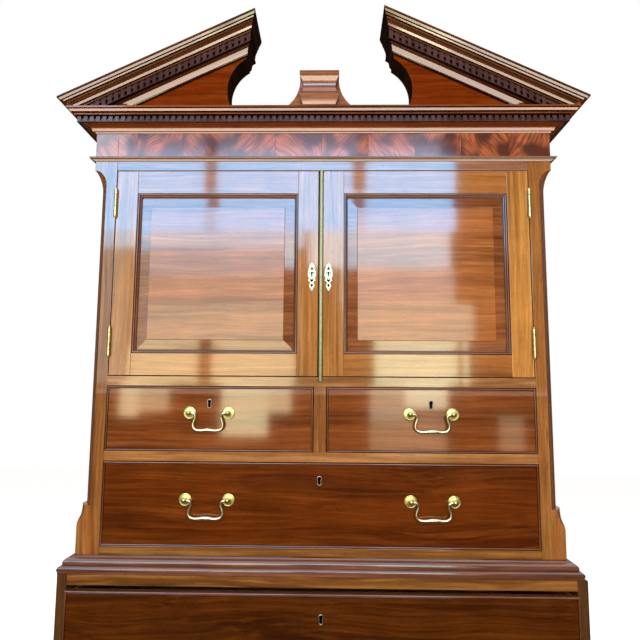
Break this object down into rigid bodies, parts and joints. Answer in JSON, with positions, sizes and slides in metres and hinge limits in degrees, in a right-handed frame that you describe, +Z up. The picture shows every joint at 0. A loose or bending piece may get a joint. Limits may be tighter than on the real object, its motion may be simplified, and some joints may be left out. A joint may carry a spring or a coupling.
{
  "type": "linen press",
  "caption": "Mahogany linen press on a chest: panelled cupboard doors over sliding trays, drawers above and below, bail handles, bracket feet, broken dentil pediment with a pedestal.",
  "frame": {"origin": "on the floor, at the middle of the whole object's box", "axes": "+X to the viewer's right, +Y from the front into the case, +Z up"},
  "size_m": [1.304, 0.62, 2.1995],
  "materials": {
    "mahogany": "polished, glossy red-brown",
    "secondary_wood": "plain, matt",
    "brass": "polished"
  },
  "bodies": {
    "case": {"base_sides": "mahogany", "base_boards": "secondary_wood", "base_back_boards": "secondary_wood", "base_front_rails": "mahogany", "base_moulding": "mahogany", "bracket_feet": "mahogany", "waist_moulding": "mahogany", "corner_posts": "mahogany", "press_sides": "mahogany", "press_boards": "secondary_wood", "press_back_boards": "secondary_wood", "press_front_rails": "mahogany", "guides_and_bearers": "secondary_wood", "linen_tray_1": "secondary_wood", "linen_tray_2": "secondary_wood", "linen_tray_3": "secondary_wood", "linen_tray_4": "secondary_wood", "cornice_frame": "secondary_wood", "frieze": "mahogany", "cornice_mouldings": "mahogany", "dentils": "mahogany", "pediment_tympana": "mahogany", "rake_mouldings": "mahogany", "pediment_plinth": "mahogany", "hinge_fixed_halves": "brass"},
    "door_left": {"door_left_frame": "mahogany", "door_left_panel": "mahogany", "door_left_escutcheon": "brass", "door_left_bolts": "brass", "door_left_hinge_leaves": "brass"},
    "door_right": {"door_right_frame": "mahogany", "door_right_panel": "mahogany", "door_right_escutcheon": "brass", "door_right_lock": "brass", "door_right_hinge_leaves": "brass", "door_right_strip": "brass"},
    "drawer_short_left": {"drawer_short_left_front": "mahogany", "drawer_short_left_box": "secondary_wood", "drawer_short_left_brass": "brass"},
    "drawer_short_left_bail": {"drawer_short_left_bail": "brass"},
    "drawer_short_right": {"drawer_short_right_front": "mahogany", "drawer_short_right_box": "secondary_wood", "drawer_short_right_brass": "brass"},
    "drawer_short_right_bail": {"drawer_short_right_bail": "brass"},
    "drawer_long": {"drawer_long_front": "mahogany", "drawer_long_box": "secondary_wood", "drawer_long_brass": "brass"},
    "drawer_long_bail_left": {"drawer_long_bail_left": "brass"},
    "drawer_long_bail_right": {"drawer_long_bail_right": "brass"},
    "base_drawer_bottom": {"base_drawer_bottom_front": "mahogany", "base_drawer_bottom_box": "secondary_wood", "base_drawer_bottom_brass": "brass"},
    "base_drawer_bottom_bail_left": {"base_drawer_bottom_bail_left": "brass"},
    "base_drawer_bottom_bail_right": {"base_drawer_bottom_bail_right": "brass"},
    "base_drawer_top": {"base_drawer_top_front": "mahogany", "base_drawer_top_box": "secondary_wood", "base_drawer_top_brass": "brass"},
    "base_drawer_top_bail_left": {"base_drawer_top_bail_left": "brass"},
    "base_drawer_top_bail_right": {"base_drawer_top_bail_right": "brass"}
  },
  "joints": [
    {"name": "door_left_hinge", "type": "hinge", "parent": "case", "child": "door_left", "pos_m": [-0.519, -0.2394, 1.5402], "axis": [0, 0, -1], "range_deg": [0, 110]},
    {"name": "door_right_hinge", "type": "hinge", "parent": "case", "child": "door_right", "pos_m": [0.519, -0.2394, 1.5402], "axis": [0, 0, 1], "range_deg": [0, 110]},
    {"name": "drawer_short_left_slide", "type": "slide", "parent": "case", "child": "drawer_short_left", "axis": [0, -1, 0], "range_m": [0, 0.4]},
    {"name": "drawer_short_left_bail_hinge", "type": "hinge", "parent": "drawer_short_left", "child": "drawer_short_left_bail", "pos_m": [-0.2675, -0.25, 1.1915], "axis": [-1, 0, 0], "range_deg": [-12, 160]},
    {"name": "drawer_short_right_slide", "type": "slide", "parent": "case", "child": "drawer_short_right", "axis": [0, -1, 0], "range_m": [0, 0.4]},
    {"name": "drawer_short_right_bail_hinge", "type": "hinge", "parent": "drawer_short_right", "child": "drawer_short_right_bail", "pos_m": [0.2675, -0.25, 1.1915], "axis": [-1, 0, 0], "range_deg": [-12, 160]},
    {"name": "drawer_long_slide", "type": "slide", "parent": "case", "child": "drawer_long", "axis": [0, -1, 0], "range_m": [0, 0.4]},
    {"name": "drawer_long_bail_left_hinge", "type": "hinge", "parent": "drawer_long", "child": "drawer_long_bail_left", "pos_m": [-0.2675, -0.25, 0.9875], "axis": [-1, 0, 0], "range_deg": [-12, 160]},
    {"name": "drawer_long_bail_right_hinge", "type": "hinge", "parent": "drawer_long", "child": "drawer_long_bail_right", "pos_m": [0.2675, -0.25, 0.9875], "axis": [-1, 0, 0], "range_deg": [-12, 160]},
    {"name": "base_drawer_bottom_slide", "type": "slide", "parent": "case", "child": "base_drawer_bottom", "axis": [0, -1, 0], "range_m": [0, 0.42]},
    {"name": "base_drawer_bottom_bail_left_hinge", "type": "hinge", "parent": "base_drawer_bottom", "child": "base_drawer_bottom_bail_left", "pos_m": [-0.2635, -0.28, 0.334], "axis": [-1, 0, 0], "range_deg": [-12, 160]},
    {"name": "base_drawer_bottom_bail_right_hinge", "type": "hinge", "parent": "base_drawer_bottom", "child": "base_drawer_bottom_bail_right", "pos_m": [0.2715, -0.28, 0.334], "axis": [-1, 0, 0], "range_deg": [-12, 160]},
    {"name": "base_drawer_top_slide", "type": "slide", "parent": "case", "child": "base_drawer_top", "axis": [0, -1, 0], "range_m": [-0.014, 0.406]},
    {"name": "base_drawer_top_bail_left_hinge", "type": "hinge", "parent": "base_drawer_top", "child": "base_drawer_top_bail_left", "pos_m": [-0.2635, -0.294, 0.649], "axis": [-1, 0, 0], "range_deg": [-12, 160]},
    {"name": "base_drawer_top_bail_right_hinge", "type": "hinge", "parent": "base_drawer_top", "child": "base_drawer_top_bail_right", "pos_m": [0.2715, -0.294, 0.649], "axis": [-1, 0, 0], "range_deg": [-12, 160]}
  ]
}
